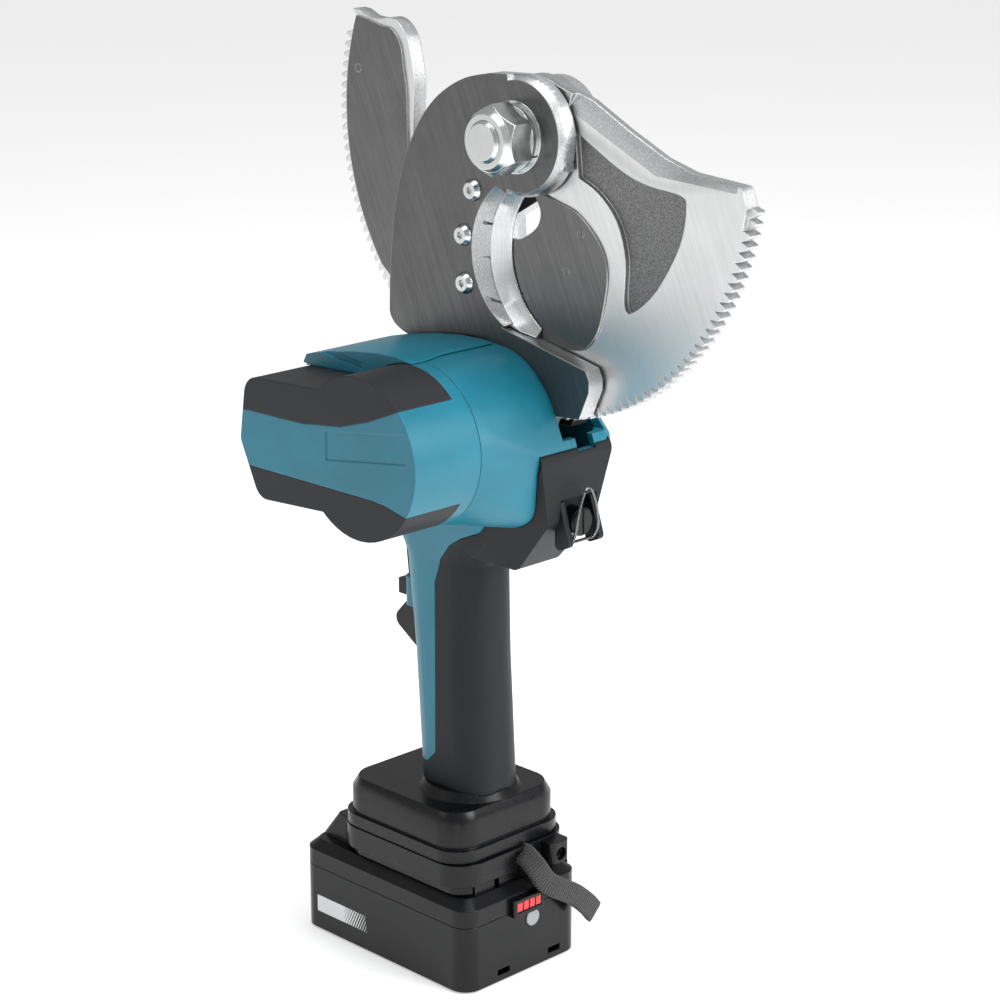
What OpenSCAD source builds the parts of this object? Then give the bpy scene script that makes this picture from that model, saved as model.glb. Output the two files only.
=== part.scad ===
// Cordless ratchet cable cutter with a pistol grip, a crosswise motor and a slide-on battery.
// Frame: X to the operator's right, Y forward (trigger side), Z up.
// The origin lies in the middle of the battery's underside, on which the tool stands.

/* [Battery] */
// Length of the battery, front to back
battery_l = 113; // [108:1:116]
// Width of the battery
battery_w = 75; // [72:1:80]
// Height of the battery's main case
battery_h = 45; // [42:1:48]

/* [Blades] */
// Radius of the tips of the ratchet teeth on the moving blade
tooth_r = 123.5; // [122:0.5:124]
// Height of one ratchet tooth
tooth_h = 4.2; // [3:0.1:4.5]
// Teeth in a full turn
teeth_per_turn = 160; // [140:2:180]
// Thickness of the toothed blade carrier
carrier_t = 7.4; // [7:0.1:7.6]
// Thickness of the steel cutting plate on the carrier
edge_plate_t = 2.5; // [2:0.1:3]

/* [Head] */
// Thickness of the side plate with the jaw
near_plate_t = 8.5; // [8:0.1:8.6]
// Thickness of the second side plate
far_plate_t = 9.4; // [8:0.1:10]
// Radius of the rounded end of the jaw plate around the pivot
hub_r = 26; // [25:0.5:28]
// Radius of the pivot bolt
pivot_r = 9; // [8:0.5:9]

/* [Housing] */
// Distance from the middle of the grip to the outer end of the motor cover
motor_reach = 88; // [86:1:90]
// Radius of the round motor cover
cover_r = 35.5; // [35:0.5:36]
// Thickness of the moulded shells
wall = 3; // [2.5:0.1:3.2]

/* [Grip] */
// Half width of the grip
grip_half_w = 17; // [16.5:0.5:18]
// Height of the top of the foot
foot_top = 84; // [83:1:86]

/* [Hidden] */
$fn = 96;

teal = "#2f8a99";
soft_black = "#303236";
gloss_black = "#1e2023";
brushed = "#7c7d7f";
bright = "#c9cbcd";
zinc = "#bcc4c4";
steel = "#9a9da0";
copper = "#b06a3a";

// Small gap between a moving piece and its neighbour
gap = 0.4;
// Thickness of the soft facing on the grip
facing_t = 2.2;
// Bolts in clearance holes
bolt_clear = 0.05;

// Pivot of the moving blade; its axis lies along X
pivot_y = -56.3;
pivot_z = 390;

// Planes across the head, from the jaw plate's outer face inward
near_x = -4.7;
near_far_x = near_x + near_plate_t;
edge_x = near_far_x + gap;
carrier_x = edge_x + 1;
carrier_far_x = carrier_x + carrier_t;
far_x = carrier_far_x + 0.5;
far_far_x = far_x + far_plate_t;

root_r = tooth_r - tooth_h;
tooth_pitch = 360 / teeth_per_turn;
// Angles about the pivot, counted from +Y toward +Z
leaf_angle = 19;
tail_angle = -172;
tooth_count = floor((leaf_angle - tail_angle) / tooth_pitch);
// Teeth at the tail that are thinned on the jaw plate's side
plain_teeth = 2;

// Jaw opening: a wide curve behind the pivot, open to the rear
jaw_y = -76;
jaw_z = 338.5;
jaw_r = 40;
face_jaw_y = -63;
face_jaw_r = 35;
edge_y = -84;
edge_r = 39;
bevel_t = 3.7;
// Lower end of both side plates, inside the housing
plate_foot = [[-72, 263], [-58, 262], [-46, 256], [-40, 250], [2, 250]];

// Crosswise drive line
motor_y = -45;
motor_z = 262.5;
seam_x = -50;
stator_r = 29;
module_planet = 1;
sun_teeth = 12;
planet_teeth = 18;
ring_teeth = 48;
planet_orbit = module_planet * (sun_teeth + planet_teeth) / 2;
module_crank = 1.25;
pinion_teeth = 12;
crank_teeth = 20;
crank_reach = module_crank * (pinion_teeth + crank_teeth) / 2;
crank_lean = 36;
crank_y = motor_y - crank_reach * sin(crank_lean);
crank_z = motor_z - crank_reach * cos(crank_lean);
throw = 2.2;
eccentric_r = 8;
journal_r = 5.5;
pawl_pin = [-14, 257];
pawl_pin_r = 3;

// Screw sizes
blade_screw_r = 2.5;
blade_screw_head_r = 4.9;
rivet_r = 1.9;
case_screw_r = 1.6;
case_screw_head_r = 3.2;

blade_screws = [[-29.3, 364], [-23.3, 343.6], [-24.2, 322.4]];
rivets = [[-85, 350.6], [-76.7, 334.1], [-52, 318.6], [-14, 318], [24, 326], [54.2, 408]];
head_bolt_places = [[-36, 256], [0, 255.5]];
// Case screws: [y, z, where the head seats, left end of the boss]
case_screw_places = [[-74, 233.4, 15, -6], [16, 262, 15, -6], [15, 231, 15, -6],
    [-20, 136, 10, -13], [-20, 104, 10, -13]];

// Grip sections: [height, middle, half depth, half width, corner radius]
grip_sections = [[foot_top - 6, -21.5, 21, grip_half_w + 0.5, 14], [100, -20.5, 20.5, grip_half_w, 14],
    [150, -17, 22.5, grip_half_w, 15], [195, -14, 24.5, grip_half_w, 15], [238, -23, 48, grip_half_w + 8, 17]];
// Height at which the soft facing closes round the front of the grip
facing_z = 97;
facing_y = -16;

battery_rear = -battery_l / 2;
battery_front = battery_l / 2;
seam_z = 33;

function polar(r, a, cy = 0, cz = 0) = [cy + r * cos(a), cz + r * sin(a)];
function arc(cy, cz, r, a0, a1, n) = [for (i = [0:n]) polar(r, a0 + (a1 - a0) * i / n, cy, cz)];
function knot(p, i) = p[max(0, min(len(p) - 1, i))];
// Smooth curve through a few points, with n steps between neighbours
function curve(p, n = 4) = [for (i = [0:len(p) - 2]) for (k = [0:n - 1])
    let (t = k / n, a = knot(p, i - 1), b = p[i], c = p[i + 1], d = knot(p, i + 2))
    (2 * b + (c - a) * t + (2 * a - 5 * b + 4 * c - d) * t * t + (3 * b - a - 3 * c + d) * t * t * t) / 2,
    p[len(p) - 1]];
// Points of a round coil of wire, climbing along Z
function coil(r, pitch, turns, n) = [for (i = [0:turns * n])
    [r * cos(360 * i / n), r * sin(360 * i / n), pitch * i / n]];

// Extrudes a (Y, Z) outline along X
module slab(x0, x1) {
    translate([x0, 0, 0]) rotate([90, 0, 90]) linear_extrude(x1 - x0) children();
}

// Extrudes an (X, Y) outline upward
module layer(z0, z1) {
    translate([0, 0, z0]) linear_extrude(z1 - z0) children();
}

module rod_x(x0, x1, r, y, z) {
    translate([x0, y, z]) rotate([0, 90, 0]) cylinder(h = x1 - x0, r = r);
}

module cone_x(x0, x1, r0, r1, y, z) {
    translate([x0, y, z]) rotate([0, 90, 0]) cylinder(h = x1 - x0, r1 = r0, r2 = r1);
}

module tube_x(x0, x1, r_out, r_in, y, z) {
    difference() {
        rod_x(x0, x1, r_out, y, z);
        rod_x(x0 - 1, x1 + 1, r_in, y, z);
    }
}

module rounded_box(x0, x1, y0, y1, z0, z1, r) {
    layer(z0, z1) rounded_rect(x0, x1, y0, y1, r);
}

module rounded_rect(x0, x1, y0, y1, r) {
    polygon(concat(
        [for (p = arc(x1 - r, y1 - r, r, 0, 90, 8)) p],
        [for (p = arc(x0 + r, y1 - r, r, 90, 180, 8)) p],
        [for (p = arc(x0 + r, y0 + r, r, 180, 270, 8)) p],
        [for (p = arc(x1 - r, y0 + r, r, 270, 360, 8)) p]));
}

// Spur gear with straight-sided teeth; a gear used to cut a ring is made larger by grow
module spur_gear(m, n, h, grow = 0) {
    tip_r = m * n / 2 + 0.85 * m + grow;
    foot_r = m * n / 2 - 1.1 * m + grow;
    step = 360 / n;
    linear_extrude(h) polygon([for (i = [0:n - 1])
        for (k = [[foot_r, -0.26], [tip_r, -0.09], [tip_r, 0.09], [foot_r, 0.26]]) polar(k[0], (i + k[1]) * step)]);
}

// Wire swept along a list of points
module wire(points, r, sides = 8) {
    n = len(points);
    function unit(v) = v / norm(v);
    function tangent(i) = unit(points[min(i + 1, n - 1)] - points[max(i - 1, 0)]);
    function side(i) = unit(cross(tangent(i), abs(tangent(i)[2]) > 0.8 ? [1, 0, 0] : [0, 0, 1]));
    function ring(i) = [for (k = [0:sides - 1])
        points[i] + r * (cos(360 * k / sides) * side(i) + sin(360 * k / sides) * cross(tangent(i), side(i)))];
    polyhedron(
        points = [for (i = [0:n - 1]) each ring(i)],
        faces = concat(
            [[for (k = [0:sides - 1]) k]],
            [for (i = [0:n - 2]) for (k = [0:sides - 1])
                [i * sides + k, (i + 1) * sides + k, (i + 1) * sides + (k + 1) % sides, i * sides + (k + 1) % sides]],
            [[for (k = [sides - 1:-1:0]) (n - 1) * sides + k]]));
}

// ---- Cutting head ----

// Outline of the jaw plate above the housing, without its opening
module jaw_plate_outline() {
    polygon(concat(
        [[10, 262], [12, 293]],
        curve([[16.7, 294.3], [21.8, 296.9], [25, 301], [25.3, 306], [24.5, 322], [21.8, 345.8], [16.7, 366.5],
            [9.5, 382.5], [0.6, 395.3], [-10, 404.6], [-24.1, 411.8], [-39.4, 415.3]]),
        arc(pivot_y, pivot_z, hub_r, 88, 200, 40),
        [[-97, 294.8], [-99, 291], [-99, 286], [-93.4, 273.4], [-75.5, 272]],
        plate_foot));
}

// The opening between the hub and the lower jaw
module jaw_opening() {
    polygon(concat(
        arc(jaw_y, jaw_z, jaw_r, 47, -50, 48),
        [[-46.5, 306], [-102, 294.2], [-140, 290], [-140, pivot_z - 40], [pivot_y - 24, pivot_z - 12]],
        arc(pivot_y, pivot_z, hub_r, 210, 290, 10)));
}

// Wide bevel round the opening on the outer face
module jaw_bevel() {
    difference() {
        hull() {
            rod_x(near_x - 0.1, near_x, face_jaw_r, face_jaw_y, jaw_z, $fn = 64);
            rod_x(near_x + bevel_t - 0.1, near_x + bevel_t, jaw_r, jaw_y, jaw_z, $fn = 64);
        }
        translate([near_x - 1, -140, 240]) cube([20, 110, 66]);
        rod_x(near_x - 1, near_far_x, hub_r, pivot_y, pivot_z);
    }
}

module near_plate() {
    color(brushed) difference() {
        slab(near_x, near_far_x) difference() {
            jaw_plate_outline();
            difference() {
                jaw_opening();
                translate([pivot_y, pivot_z]) circle(hub_r);
            }
        }
        jaw_bevel();
        hub_bevel();
        fixed_blade_pocket();
        rod_x(near_x - 1, far_x, pivot_r + bolt_clear, pivot_y, pivot_z);
        for (p = blade_screws) rod_x(near_x - 1, far_x, blade_screw_r + bolt_clear, p[0], p[1]);
        for (p = head_bolt_places) rod_x(near_x - 1, far_x, 3 + bolt_clear, p[0], p[1]);
        rod_x(near_x - 1, far_x, pawl_pin_r, pawl_pin[0], pawl_pin[1]);
    }
}

// Bevel round the hub's outer edge
module hub_bevel() {
    intersection() {
        difference() {
            rod_x(near_x - 0.1, near_x + bevel_t, hub_r + 6, pivot_y, pivot_z);
            cone_x(near_x - 0.1, near_x + bevel_t, hub_r - 2.2, hub_r, pivot_y, pivot_z);
        }
        translate([near_x - 1, -100, 350]) cube([10, 50, 80]);
    }
}

// Ring-shaped seat of the fixed blade behind the jaw plate
module fixed_blade_pocket() {
    slab(near_x + bevel_t, near_far_x + 1) fixed_blade_seat();
}

module fixed_blade_seat() {
    intersection() {
        difference() {
            translate([jaw_y, jaw_z]) circle(jaw_r + 16);
            translate([pivot_y, pivot_z]) circle(hub_r + 0.01);
        }
        polygon([[-70, jaw_z], [-48, 371], [-17, 372], [-13, jaw_z], [-17, 314], [-45.5, 306.8], [-62, 303]]);
    }
}

module fixed_blade() {
    color("#b9bbbd") difference() {
        slab(near_x + bevel_t, near_far_x) fixed_blade_seat();
        hull() {
            rod_x(near_x + bevel_t - 0.2, near_x + bevel_t, jaw_r, jaw_y, jaw_z, $fn = 64);
            rod_x(near_far_x, near_far_x + 0.2, edge_r, edge_y, jaw_z + 1.5, $fn = 64);
        }
        for (p = blade_screws) rod_x(near_x, far_x, blade_screw_r, p[0], p[1]);
    }
}

// Button-head screws with a hexagon socket
module fixed_blade_screws() {
    color(zinc) for (p = blade_screws) difference() {
        union() {
            rod_x(near_x - 0.01, near_far_x - 0.5, blade_screw_r, p[0], p[1]);
            cone_x(near_x - 2.8, near_x - 0.6, blade_screw_head_r - 1.4, blade_screw_head_r, p[0], p[1]);
            rod_x(near_x - 0.6, near_x, blade_screw_head_r, p[0], p[1]);
        }
        translate([near_x - 3, p[0], p[1]]) rotate([0, 90, 0]) cylinder(h = 2, r = 1.7, $fn = 6);
    }
}

module far_plate() {
    color(brushed) difference() {
        slab(far_x, far_far_x) difference() {
            union() {
                polygon(concat(
                    [[8, 262], [10, 284], [15, 300], [16, 345], [8, 372], [-8, 396]],
                    arc(pivot_y, pivot_z, hub_r - 2, 60, 250, 24),
                    [[-34, 350], [-36, 325], [-48, 304], [-74, 296], [-75.5, 272]],
                    plate_foot));
                translate([pivot_y, pivot_z]) circle(hub_r - 2);
            }
        }
        rod_x(far_x - 1, far_far_x + 1, pivot_r + bolt_clear, pivot_y, pivot_z);
        rod_x(far_far_x - 4, far_far_x + 1, 14.3, pivot_y, pivot_z);
        for (p = head_bolt_places) rod_x(far_x - 1, far_far_x + 1, 3 + bolt_clear, p[0], p[1]);
        rod_x(far_x - 1, far_far_x + 1, pawl_pin_r, pawl_pin[0], pawl_pin[1]);
    }
}

module head_bolts() {
    color(zinc) for (p = head_bolt_places) {
        rod_x(near_x - 0.1, far_far_x, 3, p[0], p[1]);
        rod_x(near_x - 3.5, near_x, 5, p[0], p[1]);
    }
}

// Inner edge of the moving blade's steel plate, from the hub round to the leaf's tip
cut_points = [[-56.1, 366], [-59.2, 361.9], [-61.3, 356.8], [-59.2, 350.6], [-52, 345.4], [-45.3, 343.4], [-28, 344.5],
    [-10, 348], [6, 353], [16, 361], [21.2, 372], [22.2, 384.6], [22.6, 400], [24.3, 410.4], [26.4, 420.7],
    [31.5, 427], [38.7, 428.2], [47, 430.2]];
// The carrier's own inner edge, set back behind the steel plate but proud of it along the leaf
back_points = [[-60, 368], [-66, 363], [-67, 356], [-63, 347], [-54, 341], [-45, 339], [-28, 340.5], [-8, 344], [9, 350],
    [17, 360], [19.2, 375], [18.8, 393], [18.3, 403.5], [19.9, 414], [23, 424.4], [28, 430], [34, 432], [41, 431],
    [48, 431.4]];

// Crescent of the toothed carrier without its teeth
module carrier_outline() {
    polygon(concat(
        curve(back_points),
        [[54.3, 434], [58.3, 434.4]],
        arc(pivot_y, pivot_z, root_r, leaf_angle + 1.2, tail_angle, 90),
        [[-172.5, 379.5], [-170.7, 381.3], [-142.9, 383.3], [-127.4, 387.5], [-106.7, 396.8], [-86.1, 407.1]],
        arc(pivot_y, pivot_z, hub_r - 0.6, 118, 20, 16),
        [[-36, 384]]));
}

// Wedge that slopes the arm's upper edge between its face and its outline
module arm_bevel(face_a, face_b, rim_b, rim_a) {
    hull() {
        slab(carrier_x - 0.2, carrier_x) polygon([face_a, face_b, rim_b + [0, 3], rim_a + [0, 3]]);
        slab(carrier_x + 4, carrier_x + 4.2) polygon([rim_a, rim_b, rim_b + [0, 3], rim_a + [0, 3]]);
    }
}

// Band of ratchet teeth: steep driving faces and sloping backs
module tooth_band(from, to) {
    polygon(concat(
        [for (i = [from:to - 1]) let (a = tail_angle + i * tooth_pitch) each [
            polar(root_r, a, pivot_y, pivot_z), polar(tooth_r - 0.6, a + 0.30, pivot_y, pivot_z),
            polar(tooth_r, a + 0.50, pivot_y, pivot_z), polar(tooth_r, a + 0.90, pivot_y, pivot_z),
            polar(tooth_r - 0.7, a + 1.25, pivot_y, pivot_z)]],
        [polar(root_r, tail_angle + to * tooth_pitch, pivot_y, pivot_z)],
        arc(pivot_y, pivot_z, root_r - 2, tail_angle + to * tooth_pitch, tail_angle + from * tooth_pitch, 60)));
}

// Forged hollow in the carrier's arm
module arm_hollow() {
    polygon(curve([[-80.5, 394], [-106.7, 380.5], [-122, 376], [-139.8, 374], [-142.9, 369], [-139.8, 353.4],
        [-127.4, 332.8], [-114, 321.4], [-109.4, 324.5], [-109.8, 343.1], [-104.7, 358.6], [-94, 369],
        [-82.5, 374.5]]));
}

// Outline of the steel plate that carries the cutting edge
module edge_plate_outline(grow) {
    polygon(concat(
        curve(cut_points),
        arc(pivot_y, pivot_z, root_r - 0.4 + grow, leaf_angle + 1.4, -36, 30),
        [[15, 301 - grow], [-20, 297.5 - grow], [-56, 300.5 - grow]],
        curve([[-75, 300 - grow], [-82, 300.3 - grow], [-89 - grow, 302.6 - grow], [-95.3 - grow, 310.4],
            [-98.8 - grow, 322.7], [-100.4 - grow, 335], [-97.6 - grow, 345.4 + grow],
            [-90.6 - grow, 353.7 + grow], [-82, 359.9 + grow], [-71.6, 362.9 + grow], [-62, 365.5 + grow],
            [-58, 367.5]])));
}

module blade_carrier() {
    color(bright) difference() {
        union() {
            slab(carrier_x, carrier_far_x) union() {
                carrier_outline();
                translate([pivot_y, pivot_z]) circle(hub_r - 0.6);
            }
            slab(carrier_x + 2.5, carrier_far_x) tooth_band(0, tooth_count);
            slab(carrier_x, carrier_far_x) tooth_band(plain_teeth, tooth_count);
        }
        slab(carrier_x - 1, edge_x + edge_plate_t) edge_plate_outline(0.15);
        arm_bevel([-76, 403], [-126, 380.5], [-127.4, 387.5], [-80, 410]);
        arm_bevel([-126, 380.5], [-169, 378.6], [-170.7, 381.3], [-127.4, 387.5]);
        slab(carrier_x - 1, carrier_x + 2.6) arm_hollow();
        rod_x(carrier_x - 1, far_x, pivot_r + 3, pivot_y, pivot_z);
        for (p = rivets) rod_x(carrier_x - 1, far_x, rivet_r, p[0], p[1]);
    }
}

module moving_blade() {
    color("#68696b") difference() {
        slab(edge_x, edge_x + edge_plate_t) difference() {
            edge_plate_outline(0);
            translate([pivot_y, pivot_z]) circle(hub_r - 0.4);
        }
        for (p = rivets) rod_x(carrier_x - 2, far_x, rivet_r, p[0], p[1]);
    }
}

module blade_rivets() {
    color(steel) for (p = rivets) rod_x(edge_x, carrier_far_x, rivet_r, p[0], p[1]);
}

module pivot_bush() {
    color("#a58a55") tube_x(edge_x + 0.1, carrier_far_x + 0.3, pivot_r + 3, pivot_r + bolt_clear, pivot_y, pivot_z);
}

// Bolt with a flat round head let into the far plate
module pivot_bolt() {
    color(zinc) difference() {
        union() {
            rod_x(near_x - 20.4, far_far_x - 4, pivot_r, pivot_y, pivot_z);
            cone_x(near_x - 21.8, near_x - 20.4, pivot_r - 1.2, pivot_r, pivot_y, pivot_z);
            rod_x(far_far_x - 4, far_far_x - 0.2, 14, pivot_y, pivot_z);
        }
        translate([far_far_x - 3, pivot_y, pivot_z]) rotate([0, 90, 0]) cylinder(h = 4, r = 7, $fn = 6);
    }
}

module flat_washer() {
    color(zinc) tube_x(near_x - 2.2, near_x, 15.6, pivot_r + bolt_clear, pivot_y, pivot_z);
}

// Spring washer with its cut
module spring_washer() {
    color(zinc) difference() {
        tube_x(near_x - 5.4, near_x - 2.2, 14.4, pivot_r + bolt_clear, pivot_y, pivot_z);
        translate([near_x - 6, pivot_y - 16, pivot_z - 8]) rotate([14, 0, 0]) cube([5, 9, 0.9]);
    }
}

// Hexagon nut with a round locking collar
module pivot_nut() {
    nut_r = 15.6;
    color(zinc) difference() {
        union() {
            intersection() {
                translate([near_x - 17.6, pivot_y, pivot_z]) rotate([0, 90, 0]) cylinder(h = 12.2, r = nut_r, $fn = 6);
                union() {
                    cone_x(near_x - 17.6, near_x - 15, nut_r - 2.4, nut_r + 0.1, pivot_y, pivot_z);
                    rod_x(near_x - 15, near_x - 5.4, nut_r + 0.1, pivot_y, pivot_z);
                }
            }
            cone_x(near_x - 20, near_x - 17.6, 11.6, 13, pivot_y, pivot_z);
        }
        rod_x(near_x - 30, near_x, pivot_r + bolt_clear, pivot_y, pivot_z);
    }
}

// ---- Housing ----

// Outline of the gear case, inset by the given amount
module case_round(y, z, r, inset, x0, x1) {
    rod_x(x0, x1, r - inset, y, z);
}

// Gear case from the motor seam to the right-hand side
module case_body(inset) {
    hull() {
        case_round(motor_y, motor_z, cover_r, inset, seam_x + (inset > 0 ? -1 : 0), near_x - 3, $fn = 72);
        case_corners(inset, -20, 21 - inset, 0);
        case_corners(inset, 21 - inset, 27.8 - inset, 4);
    }
}

module case_corners(inset, x0, x1, shrink) {
    $fn = 32;
    case_round(-36, 269, 30 - shrink, inset, x0, x1);
    case_round(-76.5, 257, 9 - shrink, inset, x0, x1);
    case_round(4, 271, 21 - shrink, inset, x0, x1);
    case_round(6, 244, 14 - shrink, inset, x0, x1);
    case_round(-66, 238, 15 - shrink, inset, x0, x1);
}

// Rounded section of the grip
module grip_slice(s, inset) {
    layer(s[0], s[0] + 0.4)
        rounded_rect(-s[3] + inset, s[3] - inset, s[1] - s[2] + inset, s[1] + s[2] - inset, s[4] - inset);
}

module grip_body(inset) {
    for (k = [[0, 2], [2, 3], [3, 4]]) hull() {
        grip_slice(grip_sections[k[0]], inset);
        grip_slice(grip_sections[k[1]], inset);
    }
}

// Side view of the part of the grip that carries the soft facing
module facing_region(grow = 0) {
    polygon([[-120, 60], [60, 60], [60, facing_z + grow], [facing_y + grow + 6, facing_z + grow],
        [facing_y + grow, facing_z + 6], [facing_y + grow, 185], [-20 + grow, 197], [-28 + grow, 206],
        [-36, 211 + grow], [-52, 218 + grow], [-62, 232 + grow], [-120, 232 + grow]]);
}

// Space for the blades, the two side plates and the pawls
module head_slot() {
    translate([near_x, -60, 246]) cube([far_far_x - near_x + gap, 74, 80]);
    translate([near_x, -84, 262]) cube([far_far_x - near_x + gap, 48, 60]);
    translate([2.6, -100, 256.5]) cube([carrier_far_x + 0.7 - 2.6, 118, 60]);
}

// Moulded collar round the direction lever
module lever_guard() {
    rounded_box(-9, 9, 0, 14.5, 166, 180, 5);
}

module outer_shell() {
    difference() {
        union() {
            case_body(0);
            grip_body(facing_t);
            difference() {
                grip_body(0);
                slab(-60, 60) facing_region();
                rear_block(0.1);
            }
            lever_guard();
        }
        difference() {
            union() {
                case_body(wall);
                grip_body(facing_t + wall);
            }
            for (p = case_screw_places) rod_x(p[3], p[2] + 3, case_screw_head_r + 1.4, p[0], p[1]);
        }
        head_slot();
        translate([-7, -12, 145]) cube([14, 40, 22.5]);
        translate([-7.5, -12, 168.5]) cube([15, 40, 8]);
        translate([-40, -60, 0]) cube([80, 80, foot_top - 8]);
        case_screw_holes();
    }
}

// Bores of the case screws, wide enough for a driver outside their heads
module case_screw_holes() {
    for (p = case_screw_places) {
        rod_x(-3, 60, case_screw_r, p[0], p[1]);
        rod_x(p[2], 60, case_screw_head_r + 0.3, p[0], p[1]);
    }
}

module half_space(side) {
    if (side < 0) translate([-200, -200, 0]) cube([200 - 0.05, 400, 400]);
    if (side > 0) translate([0.05, -200, 0]) cube([200, 400, 400]);
}

module housing_left() {
    color(teal) intersection() {
        outer_shell();
        half_space(-1);
    }
}

module housing_right() {
    color(teal) intersection() {
        outer_shell();
        half_space(1);
    }
}

module housing_screws() {
    color(steel) for (p = case_screw_places) {
        rod_x(-2, p[2], case_screw_r - 0.02, p[0], p[1]);
        rod_x(p[2], p[2] + 1.8, case_screw_head_r, p[0], p[1]);
    }
}

// Outline of the motor cover's end: a round drum with a flatter block in front
module cover_profile(inset) {
    translate([motor_y, motor_z]) circle(cover_r - inset);
    hull() {
        $fn = 32;
        translate([-38, 260]) circle(24 - inset);
        translate([-30, 277]) circle(12 - inset);
        translate([19.5, 277.5]) circle(9 - inset);
        translate([25.5, 258]) circle(6 - inset);
        translate([15, 240.5]) circle(8 - inset);
    }
}

cover_x = -motor_reach;
bumper_t = 2.4;
bumper_x = -57;

// Teal band between the bumpers, as a region of the cover's end
module band_region() {
    polygon([[60, 270], [28.8, 270.8], [-10, 271.5], [-34.5, 274.7], [-52, 280], [-71.8, 288.2], [-100, 296],
        [-100, 236], [-76, 243], [-62, 246], [-52.7, 246.6], [25.7, 246.1], [60, 246]]);
}

module bumper_skin(lower) {
    intersection() {
        difference() {
            slab(cover_x, bumper_x) cover_profile(0);
            slab(cover_x + bumper_t, bumper_x + 1) cover_profile(bumper_t);
        }
        slab(cover_x, bumper_x) difference() {
            translate([-120, lower ? 200 : 262]) square([200, lower ? 62 : 60]);
            band_region();
        }
    }
}

module motor_cover() {
    color(teal) difference() {
        union() {
            slab(cover_x, seam_x - 0.3) intersection() {
                cover_profile(0);
                band_region();
            }
            slab(bumper_x, seam_x - 0.3) cover_profile(0);
            slab(cover_x + bumper_t, seam_x - 0.3) cover_profile(bumper_t);
        }
        rod_x(cover_x + 5, seam_x, cover_r - 5, motor_y, motor_z);
        slab(cover_x - 1, cover_x + 0.35) hull() {
            translate([-75, 266]) square([1, 12.5]);
            translate([-26, 258.5]) square([1, 12.5]);
        }
    }
}

module upper_bumper() {
    color(soft_black) bumper_skin(false);
}

module lower_bumper() {
    color(soft_black) bumper_skin(true);
}

// Raised cover on top of the housing, with a long rounded hollow in its end face
lid_x = -57;

module top_lid() {
    color(teal) difference() {
        slab(lid_x, near_x - 2) polygon([[24, 280], [24.5, 288], [22.5, 291.4], [10, 294.4], [-8, 297.6], [-24, 299.4],
            [-36, 299.6], [-45, 298.4], [-52, 296], [-52, 280]]);
        slab(cover_x, seam_x + 1) cover_profile(-0.3);
        rod_x(seam_x - 1, 0, cover_r + 0.3, motor_y, motor_z);
        case_body(-0.3);
        translate([lid_x - 1, 22.6, 285]) cube([60, 8, 2.2]);
        translate([lid_x - 1, -14, 291]) rotate([6, 0, 0]) cube([2.4, 26, 2.6]);
    }
}

// Block of the rear facing below the gear case
module rear_block(grow) {
    hull() {
        $fn = 32;
        case_round(-81, 254.5, 6, -grow, -20.5 - grow, 23 + grow);
        case_round(-81, 228, 5, -grow, -15.5 - grow, 14.5 + grow);
        case_round(-61, 206.5, 6, -grow, -12 - grow, 13 + grow);
        case_round(-42, 208, 5, -grow, -17.5 - grow, 17.5 + grow);
    }
}

// Rear part of the housing with soft facing, running down into the grip's back
module grip_rubber() {
    color(soft_black) difference() {
        union() {
            intersection() {
                grip_body(0);
                slab(-60, 60) facing_region(-0.3);
            }
            rear_block(0);
        }
        case_body(-0.2);
        grip_body(facing_t - 0.1);
        head_slot();
        translate([-8.2, -100, 213]) cube([22.4, 17.5, 23.5]);
        translate([1.5, -78, 226]) rotate([90, 0, 0]) cylinder(h = 12, r = 3.05);
        case_screw_holes();
    }
}

// Soft pad on the grip's front, below the trigger
module grip_pad() {
    color(soft_black) difference() {
        intersection() {
            grip_body(-1.6);
            rounded_box(-8, 8, -2, 40, 100, 133, 3);
        }
        grip_body(-0.1);
    }
}

// Soft facing between the direction lever and the motor cover
module front_trim() {
    color(soft_black) difference() {
        intersection() {
            grip_body(-2.2);
            translate([-9, 2, 181]) cube([18, 40, 22]);
        }
        grip_body(-0.1);
    }
}

// ---- Drive ----

module motor_stator() {
    color(copper) difference() {
        rod_x(cover_x + 12, seam_x - 6, stator_r, motor_y, motor_z);
        rod_x(cover_x, seam_x, 15, motor_y, motor_z);
        for (i = [0:5]) translate([0, motor_y, motor_z]) rotate([60 * i, 0, 0])
            translate([cover_x, -2.5, 14]) cube([50, 5, 9]);
    }
}

// Rotor with its shaft, cooling fan and sun pinion
module motor_rotor() {
    color(steel) translate([0, motor_y, motor_z]) rotate([0, 90, 0]) union() {
        translate([0, 0, cover_x + 14]) cylinder(h = 17, r = 14.4);
        translate([0, 0, cover_x + 6]) cylinder(h = 42, r = 3);
        translate([0, 0, -48]) spur_gear(module_planet, sun_teeth, 10.5);
        translate([0, 0, -49.7]) cylinder(h = 1.8, r = 4);
        for (i = [0:8]) rotate([0, 0, 40 * i]) translate([2, -0.8, -53.2]) cube([20.4, 1.6, 3.2]);
        translate([0, 0, -50.4]) cylinder(h = 0.8, r = 23);
    }
}

module rotor_bearings() {
    color(steel) {
        tube_x(cover_x + 6.5, cover_x + 11.5, 8, 3.02, motor_y, motor_z);
        tube_x(seam_x - 6, seam_x - 4, 6, 3.02, motor_y, motor_z);
    }
}

module motor_end_plate() {
    color(steel) tube_x(seam_x - 5.9, seam_x - 4.1, 30, 6, motor_y, motor_z);
}

module ring_gear() {
    color(steel) translate([-47, motor_y, motor_z]) rotate([0, 90, 0]) difference() {
        cylinder(h = 10, r = 28);
        translate([0, 0, -1]) rotate([0, 0, 180 / ring_teeth]) spur_gear(module_planet, ring_teeth, 12, 0.4);
    }
}

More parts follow.
